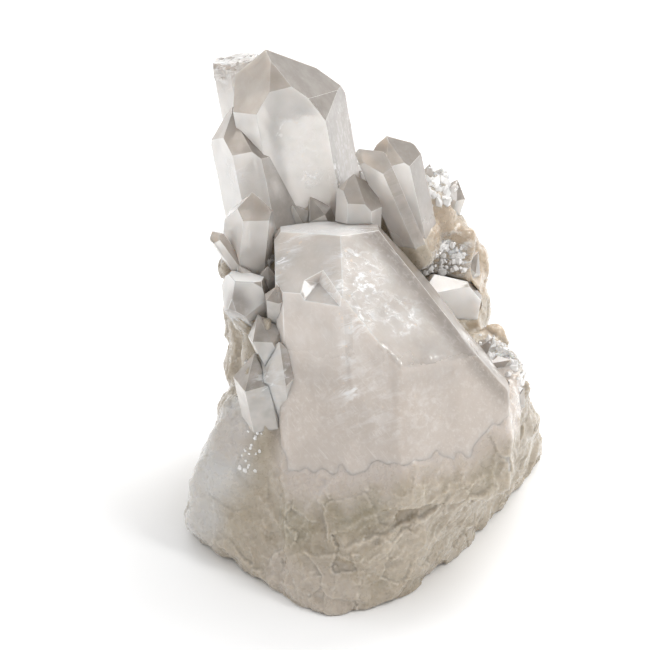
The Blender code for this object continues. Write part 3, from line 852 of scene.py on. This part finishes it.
# Flakes that overlap like shingles: size, lean, how far each is warped, which set of chances.
SHINGLES, SHINGLE_HEIGHT = ((8.0, 0.055, 1.8, 6), (3.4, 0.045, 0.9, 7)), 1.5
# The long flakes at the lower right: the way they run, how narrow they are, their bowls.
FLAKE_RUN, FLAKE_SQUEEZE = unit(0.74, 0.25, 0.62), 2.2
FLAKE_BOWLS, FLAKE_HEIGHT = ((9.0, 0.20, 0.16, 4), (4.0, 0.2, 0.2, 5)), 1.9
# Ledges across the front: two ends, the way to the side that stands out, how far, how it fades.
DOWN, RIGHT = (0.3, 0.0, -0.95), (0.95, -0.3, 0.0)
LEDGES = (((7.4, -50.4, 22.0), (23.6, -43.9, 26.5), DOWN, 1.1, 6.0),
          ((23.6, -43.9, 26.5), (42.0, -33.5, 31.5), DOWN, 1.1, 6.0),
          ((-9.0, -44.0, 15.0), (8.0, -51.0, 20.0), DOWN, 0.7, 5.0),
          ((-5.6, -37.5, 49.0), (0.9, -48.0, 21.0), RIGHT, 1.3, 9.0))
LEDGE_REACH = 20  # a ledge ends this far from its line
# Zones of the rock, each a centre and a radius: smoother, flaky, and of other colours.
SMOOTH_ZONES = (((-31, -20, 25), 24), ((-22, -22, 42), 12), ((44, 28, 72), 14))
FLAKE_ZONES = (((34, -38, 26), 22), ((14, -46, 22), 14))
OLIVE_ZONES = (((9, -46, 32), 12), ((-9, -42, 24), 11), ((27, -43, 44), 6), ((43, -35, 36), 6),
               ((-2, -44, 34), 9))
GREY_ZONES = (((-33, -19, 30), 19), ((-25, -17, 42), 11), ((-36, -16, 14), 18))
PINK_ZONES = (((55, -5, 26), 24), ((48, -29, 42), 13), ((54, 5, 48), 18), ((-10, -38, 38), 11))
# Frost zones, which also carry painted glints.
FROST_AND_GLINT_ZONES = (((36, 42, 90), 12), ((28, 21, 70), 9), ((36, 26, 70), 9), ((52, 2, 53), 10),
               ((-14, -24, 58), 5), ((45, 36, 80), 6))
PALE_ZONES = (((0, -51, 5), 15), ((-12, -45, 6), 12), ((-26, -20, 38), 10))
STAIN_ZONES = (((46, 29, 66), 17), ((44, 30, 80), 12), ((50, 20, 55), 12), ((33, 28, 76), 15))


def root_mesh(node, point):
    """The foot of a node's crystals under a level plane, a little thicker, as rock."""
    mesh = whole(from_node(node))
    mesh.normal_update()
    shifts = [vert.normal * vert.calc_shell_factor() * ROOT_OVERLAP for vert in mesh.verts]
    for vert, shift in zip(mesh.verts, shifts):
        vert.co += shift
    cut(mesh, point, UP)
    return mesh


def front_sides():
    """The outward directions of the front crystal's side faces."""
    for step, side in enumerate(FRONT_SIDES):
        around = math.radians(60 * step)
        yield FRONT_TURN @ Vector((math.cos(around), math.sin(around), 0)), side


def front_root():
    """The front crystal's faces carried on down into the base."""
    mesh = bmesh.new()
    bmesh.ops.create_cube(mesh, size=400)
    bmesh.ops.transform(mesh, matrix=FRONT_TURN.to_4x4(), verts=mesh.verts)
    bmesh.ops.translate(mesh, vec=FRONT_APEX, verts=mesh.verts)
    planes = [(FRONT_APEX + out * side, out) for out, side in front_sides()]
    planes.append((FRONT_APEX - FRONT_AXIS * FRONT_CUT, FRONT_AXIS))
    planes.append((FRONT_APEX - FRONT_AXIS * (FRONT_FOOT + 2), -FRONT_AXIS))
    for point, out in planes:
        cut(mesh, point, out)
    return mesh


FAR = 1e9


def scramble(values):
    """Well mixed whole numbers from whole numbers."""
    for _ in range(2):
        values = (values ^ (values >> 16)) * 0x45D9F3B & 0xFFFFFFFF
    return values ^ (values >> 16)


def chances(cells, seed, count):
    """Repeatable numbers from 0 to 1 for cells of a grid, count for each cell."""
    key = (cells[:, 0] * 73856093 ^ cells[:, 1] * 19349663 ^ cells[:, 2] * 83492791) & 0xFFFFFFFF
    key = scramble(key + seed * 7919)
    return [scramble(key + 104729 * (n + 1) & 0xFFFFFFFF) / 0xFFFFFFFF for n in range(count)]


def bowls(points, size, hollow, lean, seed):
    """Height of a surface broken in shallow bowls about as wide as size, with ridges between."""
    places = points / size
    corner = np.floor(places).astype(np.int64)
    height = np.full(len(points), FAR)
    for step in itertools.product((-1, 0, 1), repeat=3):
        cell = corner + np.array(step)
        chance = chances(cell, seed, 6)
        value = np.zeros(len(points))
        for k in range(3):
            gap = places[:, k] - cell[:, k] - chance[k]
            value += hollow * gap * gap + 2 * lean * gap * (chance[k + 3] - 0.5)
        height = np.minimum(height, value)
    return (height - height.mean()) * size


def shingles(points, size, lean, warp, seed):
    """Height of flakes about as wide as size that overlap in small steps, and a tone for each."""
    bent = points + warp * np.array([[noise.noise(Vector(p) / size + off)
                                      for off in (OFF * 0, OFF, -OFF)] for p in points])
    places = bent / size
    corner = np.floor(places).astype(np.int64)
    nearest = np.full(len(points), FAR)
    height, tone = np.zeros(len(points)), np.zeros(len(points))
    for step in itertools.product((-1, 0, 1), repeat=3):
        cell = corner + np.array(step)
        chance = chances(cell, seed, 7)
        gaps = [places[:, k] - cell[:, k] - chance[k] for k in range(3)]
        far = sum(gap * gap for gap in gaps)
        closer = far < nearest
        nearest = np.where(closer, far, nearest)
        value = sum(2 * gaps[k] * (chance[k + 3] - 0.5) for k in range(3))
        height = np.where(closer, value, height)
        tone = np.where(closer, chance[6], tone)
    return height * lean * size, tone


def ledge(points, start, end, side, stand, fade):
    """Height of a ledge between two points: one side of it stands out and fades away."""
    start, end, side = (np.array(place, float) for place in (start, end, side))
    long = np.linalg.norm(end - start)
    run = (end - start) / long
    rel = points - start
    along = rel @ run
    wobble = np.array([noise.noise(Vector(p) / 3.0) for p in points])
    past = (rel - np.outer(along, run)) @ (side / np.linalg.norm(side)) + 1.2 * wobble
    reach = stepped(-4, 2, along) * stepped(long + 4, long - 2, along)
    off_line = rel - np.outer(np.clip(along, 0, long), run)
    near_line = np.linalg.norm(off_line, axis=1) < LEDGE_REACH
    shape = stepped(-0.4, 0.4, past) * np.exp(-np.maximum(past, 0) / fade)
    return stand * shape * reach * near_line


def bends(data, points, normals):
    """How much the surface bends at each point: above 0 on ridges and below 0 in grooves."""
    ends = np.empty(len(data.edges) * 2, np.int32)
    data.edges.foreach_get("vertices", ends)
    first, second = ends.reshape(-1, 2).T
    total, count = np.zeros_like(points), np.zeros(len(points))
    for a, b in ((first, second), (second, first)):
        for k in range(3):
            total[:, k] += np.bincount(a, weights=points[b, k], minlength=len(points))
        count += np.bincount(a, minlength=len(points))
    middle = total / np.maximum(count, 1)[:, None]
    return ((points - middle) * normals).sum(axis=1) / FINE_VOXEL


def zone_weights(points, zones):
    """1 in the middle of any of the zones, each a centre and a radius, and 0 outside them."""
    weights = np.zeros(len(points))
    for centre, radius in zones:
        far = np.linalg.norm(points - np.array(centre, float), axis=1)
        t = np.clip((radius - far) / (radius * 0.6), 0, 1)
        weights = np.maximum(weights, t * t * (3 - 2 * t))
    return weights


def stepped(low, high, values):
    """0 at low and before it, 1 at high and past it, for many values."""
    t = np.clip((values - low) / (high - low), 0, 1)
    return t * t * (3 - 2 * t)


def small_covers(points):
    """1 where a small crystal stands for the rock, and 0 away from them."""
    covers = np.zeros(len(points))
    for tip, lean, heading, wide, long in SMALL:
        axis = np.array(crystal_turn(lean, heading, 0) @ UP)
        rel = points - np.array(tip, float)
        down = -rel @ axis
        out = np.linalg.norm(rel + np.outer(down, axis), axis=1)
        reach = stepped(-4.0, -1.0, down) * stepped(long - 2, long - 7, down)
        covers = np.maximum(covers, stepped(wide + 1.8, wide + 0.6, out) * reach)
    return covers


def rough_base():
    """The base and the crystals' roots as one mesh of an even grain."""
    thing = to_object("broken_base", from_node("milky_base"))
    parts = [to_object("root_" + node, root_mesh(node, point)) for node, point in ROOTS]
    parts.append(to_object("root_front", front_root()))
    with bpy.context.temp_override(active_object=thing, object=thing,
                                   selected_editable_objects=[thing, *parts]):
        bpy.ops.object.join()
    remesh = thing.modifiers.new("grain", "REMESH")
    remesh.mode = "VOXEL"
    remesh.voxel_size = FINE_VOXEL * MM
    smooth = thing.modifiers.new("smooth", "SMOOTH")
    smooth.factor = 0.5
    smooth.iterations = GRAIN_ROUNDS
    settle(thing)
    return thing


def relief(points):
    """Height of the rock at many points, and the tone of its flakes."""
    rough = sum(bowls(points, *values) for values in BREAKS)
    run = np.array(FLAKE_RUN)
    along = points @ run
    flaky = (points - np.outer(along, run)) * FLAKE_SQUEEZE + np.outer(along, run)
    flakes = sum(bowls(flaky, *values) / FLAKE_SQUEEZE for values in FLAKE_BOWLS)
    weight = zone_weights(points, FLAKE_ZONES)
    height = rough * (1 - 0.6 * weight) + flakes * weight * FLAKE_HEIGHT
    steps, tones = zip(*(shingles(points, *values) for values in SHINGLES))
    height += sum(steps) * SHINGLE_HEIGHT
    height += sum(ledge(points, *values) for values in LEDGES)
    height *= 1 - 0.6 * zone_weights(points, SMOOTH_ZONES)
    return height, 0.6 * tones[0] + 0.4 * tones[1]


def front_places(points):
    """How far out of the front crystal's sides many points lie, and how far down its axis."""
    rel = points - np.array(FRONT_APEX)
    far = np.full(len(points), -FAR)
    for out, side in front_sides():
        far = np.maximum(far, rel @ np.array(out) - side)
    return far, -rel @ np.array(FRONT_AXIS)


def milky_limit(points):
    """How far down its axis the front crystal turns into broken rock, at many points."""
    limit = MILKY_LIMIT + np.array([4 * noise.noise(Vector(p) / 9)
                                    + 3 * noise.noise(Vector(p) / 3.5) for p in points])
    for begin, end, sooner in MILKY_SLANTS:
        limit -= sooner * stepped(begin, end, points[:, 0])
    return limit


def rock():
    """The base with the crystals' roots in it, broken in bowls and flakes."""
    thing = rough_base()
    data = thing.data
    flat = np.empty(len(data.vertices) * 3, np.float32)
    data.vertices.foreach_get("co", flat)
    points = flat.reshape(-1, 3).astype(np.float64) / MM
    data.vertices.foreach_get("normal", flat)
    normals = flat.reshape(-1, 3).astype(np.float64)

    height, tone = relief(points)
    far, down = front_places(points)
    limit = milky_limit(points)
    on_front = stepped(4.0, 1.5, np.abs(far)) * stepped(FRONT_CUT - 6, FRONT_CUT - 2, down)
    above = stepped(limit + 9.0, limit - 5.0, down)
    covered = on_front * stepped(70, 62, down)
    past = stepped(limit + 15, limit + 3, down) * stepped(12.0, 5.0, np.abs(far))
    height *= 1 - 0.8 * past
    covers = small_covers(points)
    height = height * (1 - covers) - SMALL_SINK * covers
    height = height * (1 - on_front * above) + covered * (above * SINK + (1 - above) * RISE)

    moved = points + normals * height[:, None]
    moved += np.outer(zone_weights(points, CLEARED_ZONES), CLEARED_PUSH)
    keep = points[:, 2] > REST_HEIGHT
    moved[:, 2] = np.maximum(moved[:, 2], 0.0)
    points = np.where(keep[:, None], moved, points)
    data.vertices.foreach_set("co", (points * MM).astype(np.float32).ravel())

    bend = bends(data, points, normals)
    milk = past * stepped(20, 34, down) * stepped(-17, -9, points[:, 0])
    marks = {
        "white": np.maximum(milk, 0.45 * zone_weights(points, PALE_ZONES)),
        "clear": stepped(54, 68, points[:, 2]),
        # white frost, also painted glints
        "frost_and_glint": zone_weights(points, FROST_AND_GLINT_ZONES),
        "stain": zone_weights(points, STAIN_ZONES) * 0.8,
        "olive": zone_weights(points, OLIVE_ZONES),
        "grey": zone_weights(points, GREY_ZONES),
        "pink": zone_weights(points, PINK_ZONES),
        # painted highlight on ridges, painted shade in grooves
        "ridge_highlight": stepped(0.05, 0.22, bend),
        "crevice_shade": stepped(-0.05, -0.22, bend),
        "tone": tone,
    }
    for name, values in marks.items():
        layer = data.attributes.new(name, "FLOAT", "POINT")
        layer.data.foreach_set("value", values.astype(np.float32))
    data.update()
    triangles = sum(len(face.vertices) - 2 for face in data.polygons)
    if triangles > ROCK_TRIANGLES:
        fewer = thing.modifiers.new("fewer", "DECIMATE")
        fewer.ratio = ROCK_TRIANGLES / triangles
        settle(thing)
    data = thing.data
    data.materials.clear()
    data.materials.append(milky_quartz("broken_quartz"))
    data.polygons.foreach_set("use_smooth", [True] * len(data.polygons))
    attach(thing, BODY)
    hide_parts("milky_base")
    return thing


small_crystals()
crust(rock())
